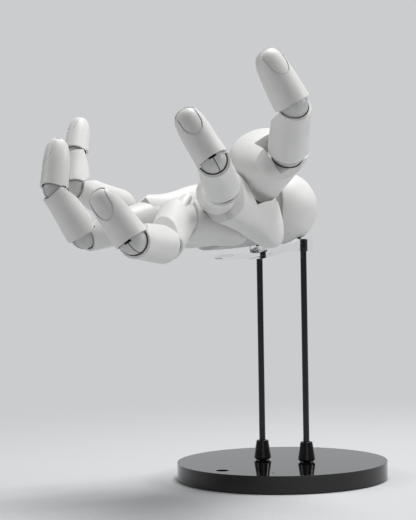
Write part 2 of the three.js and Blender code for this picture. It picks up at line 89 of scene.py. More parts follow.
class Digit(Enum):
    """The five digits, by the names that their bodies carry."""

    INDEX = "index"
    MIDDLE = "middle"
    RING = "ring"
    LITTLE = "little"
    THUMB = "thumb"


class Hinge(Enum):
    """Knuckles, with how far the next bone's rim is cut back and how far it bends."""

    MCP = (26.0, 36.0, (-34, 92))
    PIP = (3.0, 42.0, (-6, 97))
    DIP = (13.0, 14.0, (-6, 69))
    THUMB = (3.0, 14.0, (-6, 69))

    @property
    def behind(self) -> float:
        """Angle of the near rim on the back of the finger, in degrees."""
        return self.value[0]

    @property
    def before(self) -> float:
        """Angle of the near rim on the palm side, in degrees."""
        return self.value[1]

    @property
    def bend(self) -> tuple[float, float]:
        """Lowest and highest angle that the ball's slot leaves room for, in degrees."""
        return self.value[2]


def turned(parent: Matrix, at: Sequence[float], *turns: Turn) -> Matrix:
    """Make a frame at a point of its parent's, turned about its own axes in order.

    Args:
        parent: Frame that the point is given in.
        at: Place of the new frame, in millimetres.
        *turns: Axis letters with angles in degrees.

    Returns:
        The frame in the stand's own axes.
    """
    made = parent @ Matrix.Translation(at)
    for axis, angle in turns:
        made = made @ Matrix.Rotation(math.radians(angle), 4, axis)
    return made


def leaning(angle: float, axis: str = "X") -> Vector:
    """Return the y direction turned by an angle in degrees about an axis."""
    return Matrix.Rotation(math.radians(angle), 3, axis) @ Vector((0, 1, 0))


def polar(radius: float, angle: float) -> tuple[float, float]:
    """Return the point at a radius and an angle in degrees."""
    return (radius * math.cos(math.radians(angle)), radius * math.sin(math.radians(angle)))


def knuckle_radius(half_width: float) -> float:
    """Return the radius of the knuckle inside a bone of this half width."""
    return half_width - SHELL_WALL


def socket_radius(half_width: float) -> float:
    """Return the radius of the hollow that the knuckle turns in."""
    return knuckle_radius(half_width) + SOCKET_GAP


class Workpiece:
    """One body in the making, shaped with Blender's own tools in its own frame."""

    def __init__(self, name: str) -> None:
        """Take up the primitive that was just added.

        Args:
            name: Name of the finished piece.
        """
        self.obj = bpy.context.object
        self.obj.name = name
        self.obj.data.name = name
        # Tests for faces that get the dark finish: painted shade inside the sockets and seams
        self.painted_shade_zones: list[Callable[[Vector], bool]] = []
        self.settle()

    def activate(self) -> None:
        """Make this body the only selected one."""
        bpy.ops.object.select_all(action="DESELECT")
        self.obj.select_set(True)
        bpy.context.view_layer.objects.active = self.obj

    def settle(self) -> None:
        """Put the object's own place and turn into its mesh."""
        self.activate()
        bpy.ops.object.transform_apply(location=True, rotation=True, scale=True)

    @contextmanager
    def editing(self, kind: str = "FACE") -> Iterator[bmesh.types.BMesh]:
        """Open the mesh in edit mode with nothing selected.

        Args:
            kind: What is selected there, VERT, EDGE or FACE.

        Yields:
            The mesh that is being edited.
        """
        self.activate()
        bpy.ops.object.mode_set(mode="EDIT")
        bpy.ops.mesh.select_mode(type=kind)
        bpy.ops.mesh.select_all(action="DESELECT")
        yield bmesh.from_edit_mesh(self.obj.data)
        bpy.ops.object.mode_set(mode="OBJECT")

    def modify(self, kind: str, **settings: object) -> "Workpiece":
        """Add a modifier and apply it.

        Args:
            kind: Blender's type of modifier.
            **settings: Its properties.

        Returns:
            This body.
        """
        self.activate()
        modifier = self.obj.modifiers.new(kind.lower(), kind)
        for key, value in settings.items():
            setattr(modifier, key, value)
        bpy.ops.object.modifier_apply(modifier=modifier.name)
        return self

    def combine(self, other: "Workpiece", operation: str, solver: str = "EXACT") -> "Workpiece":
        """Join, cut or intersect with another body, which is used up.

        Args:
            other: The second body.
            operation: UNION, DIFFERENCE or INTERSECT.
            solver: Blender's way of working it out, EXACT or MANIFOLD.

        Returns:
            This body.
        """
        self.modify("BOOLEAN", object=other.obj, operation=operation, solver=solver)
        other.discard()
        return self

    def cut(self, *others: "Workpiece") -> "Workpiece":
        """Cut other bodies away from this one."""
        for other in others:
            self.combine(other, "DIFFERENCE")
        return self

    def add(self, *others: "Workpiece") -> "Workpiece":
        """Join other bodies to this one."""
        for other in others:
            self.combine(other, "UNION")
        return self

    def discard(self) -> None:
        """Remove this body and its mesh."""
        mesh = self.obj.data
        bpy.data.objects.remove(self.obj)
        bpy.data.meshes.remove(mesh)

    def trim(self, at: Sequence[float], normal: Vector) -> "Workpiece":
        """Slice off everything on the side of a plane that its normal points to.

        Args:
            at: A point of the plane.
            normal: Direction of what goes.

        Returns:
            This body, closed over the slice.
        """
        with self.editing():
            bpy.ops.mesh.select_all(action="SELECT")
            bpy.ops.mesh.bisect(plane_co=at, plane_no=normal, use_fill=True, clear_outer=True)
        return self

    def move(self, matrix: Matrix) -> "Workpiece":
        """Turn and shift the mesh by a matrix."""
        self.obj.data.transform(matrix)
        return self

    def hollow(self, radius: float, at: Sequence[float] = (0, 0, 0)) -> "Workpiece":
        """Note a round hollow, whose wall gets the dark finish that paints shade into the socket.

        Args:
            radius: Radius in millimetres.
            at: Centre in the body's own frame.

        Returns:
            This body.
        """
        centre = Vector(at)
        self.painted_shade_zones.append(lambda point: (point - centre).length < radius + 0.05)
        return self

    def soften(self, width: float = 0.3, angle: float = 38.0, segments: int = 2) -> "Workpiece":
        """Round the sharp edges, as a moulding tool does.

        Args:
            width: Width of the rounding in millimetres.
            angle: Edges sharper than this, in degrees, are rounded.
            segments: Faces across the rounding.

        Returns:
            This body.
        """
        self.modify("WELD", merge_threshold=0.02)
        return self.modify(
            "BEVEL",
            width=width,
            segments=segments,
            limit_method="ANGLE",
            angle_limit=math.radians(angle),
            use_clamp_overlap=True,
        )


def added_ball(
    name: str, radius: float, at: Sequence[float] = (0, 0, 0), around: int = 48, rings: int = 24
) -> Workpiece:
    """Add a ball whose poles lie on the x axis.

    Args:
        name: Name of the piece.
        radius: Radius in millimetres.
        at: Centre.
        around: Segments round the x axis.
        rings: Rings along it.

    Returns:
        The ball.
    """
    bpy.ops.mesh.primitive_uv_sphere_add(
        segments=around, ring_count=rings, radius=radius, location=at, rotation=(0, math.pi / 2, 0)
    )
    return Workpiece(name)


def added_block(name: str, low: Sequence[float], high: Sequence[float]) -> Workpiece:
    """Add a block between two corners, to cut with or to shape further."""
    low, high = Vector(low), Vector(high)
    bpy.ops.mesh.primitive_cube_add(size=1, location=(low + high) / 2, scale=high - low)
    return Workpiece(name)


def added_bar(
    name: str,
    radius: float,
    start: float,
    end: float,
    axis: str = "Y",
    at: Sequence[float] = (0, 0, 0),
    sides: int = 32,
) -> Workpiece:
    """Add a round bar along an axis through a point.

    Args:
        name: Name of the piece.
        radius: Radius in millimetres.
        start: Where it starts along the axis.
        end: Where it ends.
        axis: Letter of the axis.
        at: The point.
        sides: Number of sides.

    Returns:
        The bar.
    """
    index = "XYZ".index(axis)
    place = Vector(at)
    place[index] += (start + end) / 2
    turn = {"X": (0, math.pi / 2, 0), "Y": (-math.pi / 2, 0, 0), "Z": (0, 0, 0)}[axis]
    bpy.ops.mesh.primitive_cylinder_add(
        vertices=sides, radius=radius, depth=end - start, location=place, rotation=turn
    )
    return Workpiece(name)


def added_plate(name: str, outline: Sequence[tuple[float, float]], low: float, high: float,
                plane: str = "YZ") -> Workpiece:
    """Draw an outline and extrude it square to its plane.

    Args:
        name: Name of the piece.
        outline: Corners in the plane, anticlockwise.
        low: Where the plate starts along the third axis.
        high: Where it ends.
        plane: The two axes of the outline.

    Returns:
        The plate.
    """
    bpy.ops.mesh.primitive_circle_add(vertices=len(outline), radius=1, fill_type="NGON")
    plate = Workpiece(name)
    for vertex, (across, up) in zip(plate.obj.data.vertices, outline):
        vertex.co = (across, up, low)
    with plate.editing():
        bpy.ops.mesh.select_all(action="SELECT")
        bpy.ops.mesh.extrude_region_move(TRANSFORM_OT_translate={"value": (0, 0, high - low)})
        bpy.ops.mesh.select_all(action="SELECT")
        bpy.ops.mesh.normals_make_consistent(inside=False)
    first, second = (Vector([float(letter == axis) for letter in "XYZ"]) for axis in plane)
    basis = Matrix((first, second, first.cross(second))).transposed()
    return plate.move(basis.to_4x4())


def added_loft(name: str, spans: Sequence[Span], roundness: float = 2.4, sides: int = 12,
               levels: int = 2) -> Workpiece:
    """Extrude a ring through sections along y and smooth the result.

    Args:
        name: Name of the piece.
        spans: Sections as y, x from, x to, z from, z to.
        roundness: 2 gives ellipses, more gives squarer sections.
        sides: Corners of the ring.
        levels: Levels of subdivision.

    Returns:
        A closed smooth body.
    """
    bpy.ops.mesh.primitive_circle_add(vertices=sides, radius=1, fill_type="NGON")
    body = Workpiece(name)
    # A subdivided ring is smaller than its corners by this much
    hull = 6 / (4 + 2 * math.cos(2 * math.pi / sides))
    with body.editing("VERT") as mesh:
        for step in range(1, sides // 4 + 1):
            angle = 2 * math.pi * step / sides
            across, up = abs(math.cos(angle)), abs(math.sin(angle))
            grow = hull * (across**roundness + up**roundness) ** (-1 / roundness)
            for vertex in mesh.verts:
                vertex.select_set(abs(abs(vertex.co.y) - up) < 1e-3 and vertex.co.length < 1.001)
            bpy.ops.transform.resize(value=(grow, grow, 1), center_override=(0, 0, 0))
        for vertex in mesh.verts:
            vertex.select_set(abs(vertex.co.y) < 1e-3)
        bpy.ops.transform.resize(value=(hull, hull, 1), center_override=(0, 0, 0))
        bpy.ops.mesh.select_all(action="SELECT")
        centre, half = Vector((0, 0, 0)), Vector((1, 1, 1))
        for index, (y, left, right, low, high) in enumerate(spans):
            if index:
                bpy.ops.mesh.extrude_region_move()
            new_half = Vector(((right - left) / 2, (high - low) / 2, 1))
            new_centre = Vector(((left + right) / 2, -(low + high) / 2, y))
            ratio = (new_half.x / half.x, new_half.y / half.y, 1)
            bpy.ops.transform.resize(value=ratio, center_override=centre)
            bpy.ops.transform.translate(value=new_centre - centre)
            centre, half = new_centre, new_half
        bpy.ops.mesh.select_all(action="SELECT")
        bpy.ops.mesh.normals_make_consistent(inside=False)
    body.move(Matrix.Rotation(-math.pi / 2, 4, "X"))
    return body.modify("SUBSURF", levels=levels, render_levels=levels)


# Finishes


def linear(colour: str) -> tuple[float, float, float, float]:
    """Turn an sRGB hex colour into linear values for a shader."""
    channels = (int(colour[i : i + 2], 16) / 255 for i in (1, 3, 5))
    return (*(c / 12.92 if c <= 0.04045 else ((c + 0.055) / 1.055) ** 2.4 for c in channels), 1.0)


def add_node(
    tree: bpy.types.NodeTree, kind: str, sockets: dict | None = None, **settings: object
) -> bpy.types.Node:
    """Add a node with its settings, and fill or link its sockets.

    Args:
        tree: Node tree of a material.
        kind: Blender's type of node.
        sockets: Values, or sockets to link from, by the name or number of the input.
        **settings: Properties of the node.

    Returns:
        The node.
    """
    node = tree.nodes.new(kind)
    for key, value in settings.items():
        setattr(node, key, value)
    for socket, value in (sockets or {}).items():
        if isinstance(value, bpy.types.NodeSocket):
            tree.links.new(value, node.inputs[socket])
        else:
            node.inputs[socket].default_value = value
    return node


def noise(tree: bpy.types.NodeTree, grain_mm: float, detail: float = 2.0) -> bpy.types.NodeSocket:
    """Add a noise whose patches are about this many millimetres wide."""
    place = add_node(tree, "ShaderNodeTexCoord").outputs["Object"]
    sockets = {"Vector": place, "Scale": 1 / (grain_mm * MM), "Detail": detail}
    return add_node(tree, "ShaderNodeTexNoise", sockets).outputs["Fac"]


def between(
    tree: bpy.types.NodeTree, value: bpy.types.NodeSocket, low: float, high: float
) -> bpy.types.NodeSocket:
    """Spread a noise between two values."""
    sockets = {"Value": value, "From Min": 0.3, "From Max": 0.7, "To Min": low, "To Max": high}
    return add_node(tree, "ShaderNodeMapRange", sockets).outputs["Result"]


@dataclass(frozen=True)
class Finish:
    """A material by its name, colours and surface."""

    name: str
    colour: str
    shade: str
    patch_mm: float
    roughness: tuple[float, float]
    grain_mm: float
    relief_mm: float
    slot: str
    ior: float = 1.5
    metallic: float = 0.0
    transmission: float = 0.0

    def make(self) -> bpy.types.Material:
        """Build the material's nodes.

        Returns:
            The material.
        """
        material = bpy.data.materials.new(self.name)
        material.use_nodes = True
        tree = material.node_tree
        shader = tree.nodes["Principled BSDF"]
        shader.inputs["Metallic"].default_value = self.metallic
        shader.inputs["Transmission Weight"].default_value = self.transmission
        if not self.metallic:
            shader.inputs["IOR"].default_value = self.ior
        patches = noise(tree, self.patch_mm)
        ends = {0: between(tree, patches, 0, 1), 6: linear(self.shade), 7: linear(self.colour)}
        mixed = add_node(tree, "ShaderNodeMix", ends, data_type="RGBA")
        tree.links.new(mixed.outputs[2], shader.inputs["Base Color"])
        wear = between(tree, noise(tree, self.patch_mm / 3), *self.roughness)
        tree.links.new(wear, shader.inputs["Roughness"])
        height = noise(tree, self.grain_mm, 4.0)
        bump = {"Height": height, "Distance": self.relief_mm * MM, "Strength": 0.5}
        grain = add_node(tree, "ShaderNodeBump", bump)
        tree.links.new(grain.outputs["Normal"], shader.inputs["Normal"])
        return material


# Matte moulded ABS: soft even white, with the faint grain of a spark-eroded mould. The grain is
# drawn several times coarser than the real 0.05 mm, or it would not show.
WHITE_ABS = Finish(
    "matte_white_moulded_abs", "#e3e3e1", "#dcdcda", 26, (0.42, 0.52), 0.5, 0.02, "white_plastic"
)
# The same plastic with grey pigment, a little smoother where the joints rub
GREY_ABS = Finish(
    "matte_grey_moulded_abs", "#cbcbca", "#c2c2c1", 12, (0.36, 0.48), 0.5, 0.015, "grey_plastic"
)
# Painted shade: a dark grey finish on the walls inside the sockets and seams, so that each gap reads as
# a dark line
PAINTED_SHADE_ABS = Finish(
    "painted_shade_socket_lining", "#5c5c5c", "#525252", 6, (0.5, 0.62), 0.5, 0.01, "grey_plastic"
)
# Cast acrylic, polished to a mirror, with the slow unevenness of wiping
BLACK_ACRYLIC = Finish(
    "polished_black_acrylic", "#0a0a0b", "#070708", 30, (0.03, 0.07), 9, 0.003, "gloss_black", 1.49
)
# Injection-moulded black ABS of the sockets, glossy with a faint orange peel
BLACK_ABS = Finish(
    "glossy_black_moulded_abs", "#0d0d0e", "#09090a", 8, (0.16, 0.26), 1.2, 0.01, "gloss_black"
)
# Stove enamel on steel rod: dark, with a soft line of light along it
BLACK_ENAMEL = Finish(
    "black_stove_enamel", "#101011", "#0c0c0d", 10, (0.2, 0.28), 2.5, 0.003, "gloss_black"
)
# Laser-cut clear acrylic, tumbled: clear, with slightly blurred edges
CLEAR_ACRYLIC = Finish(
    "clear_cast_acrylic", "#fbfcfc", "#f7f9f9", 20, (0.02, 0.06), 6, 0.003, "clear", 1.1,
    transmission=1.0,
)
# Centreless-ground stainless steel of the pins and the weight, with a fine satin grind
GROUND_STEEL = Finish(
    "ground_stainless_steel", "#a5a6a8", "#96979a", 3, (0.28, 0.42), 0.4, 0.008, "steel",
    metallic=1.0,
)
# Die-cut foam rubber: dull black with open pores
FOAM_RUBBER = Finish(
    "black_foam_rubber", "#171717", "#0f0f0f", 4, (0.78, 0.92), 0.7, 0.08, "pad"
)


class Workshop:
    """Keeps the finished materials and hands each piece over to the frame."""

    def __init__(self) -> None:
        """Start with no materials made."""
        self.materials: dict[str, bpy.types.Material] = {}

    def material(self, finish: Finish) -> bpy.types.Material:
        """Return the finish's material, made on its first use."""
        if finish.name not in self.materials:
            self.materials[finish.name] = finish.make()
        return self.materials[finish.name]

    def deliver(
        self, piece: Workpiece, place: Matrix, body: str, finish: Finish, *nodes: str
    ) -> bpy.types.Object:
        """Put a piece in its place and say what it stands for.

        Args:
            piece: The finished body, in its own frame in millimetres.
            place: Its frame in the stand's axes, in millimetres.
            body: Name of the body that it rides on.
            finish: Its finish.
            *nodes: The solids that it replaces.

        Returns:
            The piece's object.
        """
        corners = [vertex.co.copy() for vertex in piece.obj.data.vertices]
        # Faces inside a noted hollow or seam get the dark finish as a second material: painted shade
        inside = [
            face.index
            for face in piece.obj.data.polygons
            if any(all(test(corners[index]) for index in face.vertices) for test in piece.painted_shade_zones)
        ]
        piece.move(Matrix.Scale(MM, 4) @ place)
        piece.activate()
        bpy.ops.object.shade_smooth_by_angle(angle=math.radians(SMOOTH_ANGLE))
        piece.modify("WEIGHTED_NORMAL", keep_sharp=True)
        obj = piece.obj
        obj.data.materials.clear()
        obj.data.materials.append(self.material(finish))
        if inside:
            obj.data.materials.append(self.material(PAINTED_SHADE_ABS))
            for index in inside:
                obj.data.polygons[index].material_index = 1
        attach(obj, body)
        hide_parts(*nodes)
        log.info("%s on %s: %d faces", obj.name, body, len(obj.data.polygons))
        return obj

    def dress(self, finish: Finish, *nodes: str) -> None:
        """Give solids of the frame a finish."""
        for name in nodes:
            for slot in bpy.data.objects[name].material_slots:
                slot.material = self.material(finish)
            log.info("%s keeps its solid", name)


# Knuckles and bones


@dataclass
class Tongue:
    """A flat tongue that turns on a pin in the slot of a ball."""

    width: float = 3.2
    radius: float = 2.3
    back: float = 0.9

    def body(self, root: float) -> Workpiece:
        """Pull the front of a short bar out to the bone.

        Args:
            root: How far the tongue reaches from the pivot.

        Returns:
            The tongue.
        """
        half = self.width / 2
        tongue = added_bar("tongue", self.radius, -half, half, "X")
        with tongue.editing() as mesh:
            for face in mesh.faces:
                face.select_set(face.normal.y > 0.01)
            bpy.ops.mesh.extrude_region_move(TRANSFORM_OT_translate={"value": (0, root, 0)})
        if self.back < self.radius:
            low, high = (-half - 1, 0, -2 * self.radius), (half + 1, root + 2 * self.radius, -self.back)
            tongue.cut(added_block("behind", low, high))
        return tongue

    def slot(self, reach: float, low: float, high: float) -> Workpiece:
        """Make the space that the tongue sweeps.

        Args:
            reach: Radius of the ball.
            low: Lowest angle of the bend.
            high: Highest angle.

        Returns:
            A cutter.
        """
        half = self.width / 2 + FIT
        points = fan(self.back + FIT, self.radius + FIT, reach, low, high)
        wedge = added_plate("slot", points, -half, half)
        return wedge.add(added_bar("slot_end", self.radius + FIT, -half, half, "X"))


WRIST_TONGUE = Tongue(7, 4.6, 4.6)


def fan(
    low_offset: float, high_offset: float, reach: float, low: float, high: float
) -> list[tuple[float, float]]:
    """Draw the fan between two angles about the origin, wider by an offset along each edge.

    Args:
        low_offset: How much wider it is along the lower edge.
        high_offset: How much wider it is along the upper edge.
        reach: Radius that it covers.
        low: Lower angle in degrees.
        high: Upper angle in degrees.

    Returns:
        Its corners, anticlockwise.
    """
    half = max(0.5, math.cos(math.radians((high - low) / 2)))

    def corner(radius: float, angle: float, offset: float) -> tuple[float, float]:
        """Return a point shifted square to its angle."""
        across, up = polar(radius, angle)
        return (
            across - offset * math.sin(math.radians(angle)),
            up + offset * math.cos(math.radians(angle)),
        )

    return [
        corner(0, low, -low_offset),
        corner(reach, low, -low_offset),
        corner(reach / half, (low + high) / 2, 0),
        corner(reach, high, high_offset),
        corner(0, high, high_offset),
    ]


@dataclass
class Knuckle:
    """A ball moulded in two halves, slotted for the next bone's tongue."""

    half_width: float
    bend: tuple[float, float]
    stem: float = STEM_LENGTH
    seam: bool = True
    seam_width: float = 0.42
    seam_depth: float = 0.7
    tongue: Tongue = field(default_factory=Tongue)

    def ball(self, name: str) -> Workpiece:
        """Shape the ball with its seam and slot."""
        radius = knuckle_radius(self.half_width)
        ball = added_ball(name, radius)
        if self.seam:
            self.part_halves(ball)
        low, high = self.bend
        # The seam's faces get the dark finish too: painted shade along the seam
        edge = self.seam_width / 2 + 0.02
        ball.painted_shade_zones.append(lambda point: abs(point.x) < edge)
        slot = self.tongue.slot(SLOT_REACH * radius, low - SLOT_PLAY, high + SLOT_PLAY)
        return ball.cut(slot)

    def part_halves(self, ball: Workpiece) -> None:
        """Sink a seam between the ball's two halves."""
        with ball.editing("EDGE") as mesh:
            for edge in mesh.edges:
                edge.select_set(all(abs(vertex.co.x) < 0.01 for vertex in edge.verts))
            bpy.ops.mesh.bevel(offset=self.seam_width / 2, segments=1, affect="EDGES")
        with ball.editing() as mesh:
            for face in mesh.faces:
                face.select_set(abs(face.calc_center_median().x) < 0.01)
            bpy.ops.mesh.extrude_region_shrink_fatten(
                TRANSFORM_OT_shrink_fatten={"value": -self.seam_depth}
            )

    def hinge(self, name: str) -> Workpiece:
        """Make a knuckle whose stem is glued into the bone behind it."""
        radius = knuckle_radius(self.half_width)
        stem = added_bar("stem", STEM_RADIUS, APEX_GAP - radius - self.stem, 1 - radius)
        return self.ball(name).add(stem).soften(0.15, 50, 1)

    def swivel(self, name: str) -> Workpiece:
        """Make a knuckle whose stem ends in a head, so that it also swings sideways."""
        seat = socket_radius(self.half_width) + SWIVEL.wall + FIT
        stem = added_bar("stem", SWIVEL.stem, -seat - 1, 1 - knuckle_radius(self.half_width))
        head = added_bar("head", SWIVEL.head, -seat - SWIVEL.head_length, -seat)
        return self.ball(name).add(stem, head).soften(0.15, 50, 1)


@dataclass(frozen=True)
class Swivel:
    """Sizes of the stem, head and chamber that let a first knuckle swing sideways."""

    stem: float = 1.7
    head: float = 3.1
    head_length: float = 2.4
    wall: float = 2.2
    limit: float = 22.0

    def space(self, half_width: float) -> Workpiece:
        """Make the room that a swivel knuckle needs in the bone behind it.

        Args:
            half_width: Half width of the knuckle's bone.

        Returns:
            A cutter.
        """
        socket = socket_radius(half_width)
        swing = self.limit + 2
        side = self.stem + FIT
        slot = fan(side, side, socket + self.wall + 1, 270 - swing, 270 + swing)
        near = socket + self.wall
        far = near + self.head_length + 4 * FIT
        steps = [(swing + 18) * part for part in (-1, -0.5, 0, 0.5, 1)]
        chamber = [polar(near, 270 + step) for step in reversed(steps)]
        chamber += [polar(far, 270 + step) for step in steps]
        height = self.head + FIT
        return added_ball("socket", socket).add(
            added_plate("slot", slot, -side, side, "XY"),
            added_plate("chamber", chamber[::-1], -height, height, "XY"),
        )


SWIVEL = Swivel()


@dataclass
class Shell:
    """The outside of a finger bone between two pivots."""

    length: float
    near: float
    far: float
    rim: Hinge
    flange: float = 0.0
    spur: tuple[Span, ...] = ()
    far_behind: float = 14.0
    far_before: float = 58.0

    def spans(self) -> list[Span]:
        """List the sections of the bone, drawn past both of its ends."""
        near, far, length = self.near, self.far, self.length
        waist = near * 0.97
        belly = far * 1.02
        return [
            (-OVERSHOOT, -near, near, -near, near + self.flange),
            (0.1 * length, -near, near, -near * 0.98, near + self.flange * 0.9),
            (0.3 * length, -waist, waist, -near * 0.95, near + self.flange * 0.45),
            (0.62 * length, -belly, belly, -far, far * 1.04),
            (0.85 * length, -far, far, -far, far),
            (length + OVERSHOOT, -far, far, -far, far),
        ]

    def trim_near(self, body: Workpiece) -> Workpiece:
        """Cut the near rim clear of the bone before it."""
        apex = (0, APEX_GAP, 0)
        body.trim(apex, leaning(180 - self.rim.before))
        return body.trim(apex, leaning(180 + self.rim.behind))

    def trim_far(self, body: Workpiece) -> Workpiece:
        """Cut the far rim to a roof over the knuckle."""
        apex = (0, self.length - APEX_GAP, 0)
        body.trim(apex, leaning(self.far_before))
        return body.trim(apex, leaning(-self.far_behind))

    def stem_length(self) -> float:
        """Return how deep the far knuckle's stem goes."""
        middle = self.length - socket_radius(self.near) - socket_radius(self.far)
        return min(STEM_LENGTH, middle / 2)

    def bone(self, name: str) -> Workpiece:
        """Make the bone with both of its sockets and its tongue."""
        body = self.trim_far(self.trim_near(added_loft(name, self.spans(), 2.2)))
        bore_end = self.length - knuckle_radius(self.far) - self.stem_length() - FIT
        body.cut(
            added_ball("near_socket", socket_radius(self.near)),
            added_ball("far_socket", socket_radius(self.far), (0, self.length, 0)),
            added_bar("bore", STEM_RADIUS + FIT, bore_end, self.length),
        )
        if self.spur:
            spur = added_loft("spur", held(self.spur, 0.6), 1.4)
            body.add(spur.cut(added_ball("room", socket_radius(self.near))))
        body.soften().hollow(socket_radius(self.near))
        body.hollow(socket_radius(self.far), (0, self.length, 0))
        return body.add(Tongue().body(socket_radius(self.near) + TONGUE_ROOT))


@dataclass
class Fingertip(Shell):
    """A last bone with its pad and its nail."""

    nail_width: float = 0.7
    nail_start: float = 0.5
    nail_rise: float = 0.24
    nail_taper: float = 0.96
    nail_margin: float = 6.0
    nail_reach: float = 3.0
    nail_share: float = 0.9
    bed_depth: float = 0.6
    nail_depth: float = 0.25

    def spans(self) -> list[Span]:
        """List the sections from behind the pivot to the tip."""
        near, tip, length = self.near, self.far, self.length
        shares = (
            (0.3, near * 0.96, near * 0.96, near * 0.9, near * 0.98),
            (0.55, tip * 1.06, tip * 1.06, tip * 0.98, tip * 1.12),
            (0.78, tip * 0.98, tip * 0.98, tip * 0.88, tip * 1.04),
            (0.92, tip * 0.8, tip * 0.8, tip * 0.7, tip * 0.82),
            (0.99, tip * 0.5, tip * 0.5, tip * 0.42, tip * 0.5),
            (1.01, tip * 0.2, tip * 0.2, tip * 0.16, tip * 0.2),
        )
        grown = [(share * length, -left, right, -low, high) for share, left, right, low, high in shares]
        return [(-OVERSHOOT, -near, near, -near, near), (0, -near, near, -near, near), *grown]

    def nail_outline(self, scale: float) -> list[tuple[float, float]]:
        """Draw the nail from above: straight sides and a rounded root.

        Args:
            scale: Size compared with the bed of the nail.

        Returns:
            Corners in x and y, anticlockwise.
        """
        half = self.nail_width * self.far * scale
        root = self.nail_start * self.length + (1 - scale) * self.nail_margin
        rise = self.nail_rise * self.length
        front = self.length + self.nail_reach
        curve = [polar(1, 180 + 15 * step) for step in range(13)]
        outline = [(half * across, root + rise + rise * up) for across, up in curve]
        return [*outline, (half * self.nail_taper, front), (-half * self.nail_taper, front)]

    def shape(self, name: str) -> Workpiece:
        """Make the fingertip with its socket, nail and tongue."""
        body = self.trim_near(added_loft(name, self.spans(), 2.15))
        body.cut(added_ball("socket", socket_radius(self.near)))
        body.soften()
        bed = added_plate("bed", self.nail_outline(1.0), -CUTTER, 0, "XY")
        body.cut(bed.cut(self.skin(self.bed_depth)))
        nail = added_plate("nail", self.nail_outline(self.nail_share), -CUTTER, -2, "XY")
        body.add(self.skin(self.nail_depth).combine(nail, "INTERSECT"))
        body.soften(0.3, 45, 3).hollow(socket_radius(self.near))
        return body.add(Tongue().body(socket_radius(self.near) + TONGUE_ROOT))

    def skin(self, depth: float) -> Workpiece:
        """Make the fingertip's outside again, this much further in."""
        skin = added_loft("skin", self.spans(), 2.15)
        with skin.editing():
            bpy.ops.mesh.select_all(action="SELECT")
            bpy.ops.transform.shrink_fatten(value=-depth)
        return skin


@dataclass
class Finger:
    """One digit: its first knuckle in the hand, its bones and the angles of its pose."""

    digit: Digit
    at: tuple[float, float, float]
    lengths: tuple[float, float, float]
    radii: tuple[float, float, float, float]
    facing: float
    roll: float
    spread: float
    flex: tuple[float, float, float]
    spur: tuple[Span, ...] = ()

    @property
    def name(self) -> str:
        """Name that the digit's bodies and nodes start with."""
        return self.digit.value

    def head(self, home: Matrix) -> Matrix:
        """Return the frame of the first knuckle's socket."""
        return turned(home, self.at, ("Z", self.facing), ("Y", self.roll))

    def build(self, shop: Workshop, home: Matrix) -> None:
        """Make and place every piece of a finger.

        Args:
            shop: Takes the pieces.
            home: Frame of the hand bone that carries the finger.
        """
        first, second, third = self.lengths
        mcp, pip, dip, tip = self.radii
        place = turned(self.head(home), (0, 0, 0), ("Z", self.spread))
        self.deliver(shop, Knuckle(mcp, Hinge.MCP.bend).swivel(self.piece("mcp_ball")), place, "root",
                     GREY_ABS, "mcp_knuckle")
        place = turned(place, (0, 0, 0), ("X", self.flex[0]))
        proximal = Shell(first, mcp, pip, Hinge.MCP, 2.5, self.spur)
        self.deliver(shop, proximal.bone(self.piece("proximal_shell")), place, "first",
                     WHITE_ABS, "proximal")
        place = turned(place, (0, first, 0))
        ball = Knuckle(pip, Hinge.PIP.bend, proximal.stem_length())
        self.deliver(shop, ball.hinge(self.piece("pip_ball")), place, "first",
                     GREY_ABS, "pip_knuckle")
        place = turned(place, (0, 0, 0), ("X", self.flex[1]))
        middle = Shell(second, pip, dip, Hinge.PIP)
        self.deliver(shop, middle.bone(self.piece("middle_shell")), place, "second",
                     WHITE_ABS, "middle")
        place = turned(place, (0, second, 0))
        ball = Knuckle(dip, Hinge.DIP.bend, middle.stem_length())
        self.deliver(shop, ball.hinge(self.piece("dip_ball")), place, "second",
                     GREY_ABS, "dip_knuckle")
        place = turned(place, (0, 0, 0), ("X", self.flex[2]))
        self.deliver(shop, Fingertip(third, dip, tip, Hinge.DIP).shape(self.piece("distal_shell")),
                     place, "tip", WHITE_ABS, "distal")

    def piece(self, part: str) -> str:
        """Name a piece of this digit."""
        return f"{self.name}_{part}"

    def deliver(self, shop: Workshop, body: Workpiece, place: Matrix, rider: str,
                finish: Finish, node: str) -> None:
        """Hand a piece of this digit over, with the short names of its body and node."""
        shop.deliver(body, place, self.piece(rider), finish, self.piece(node))


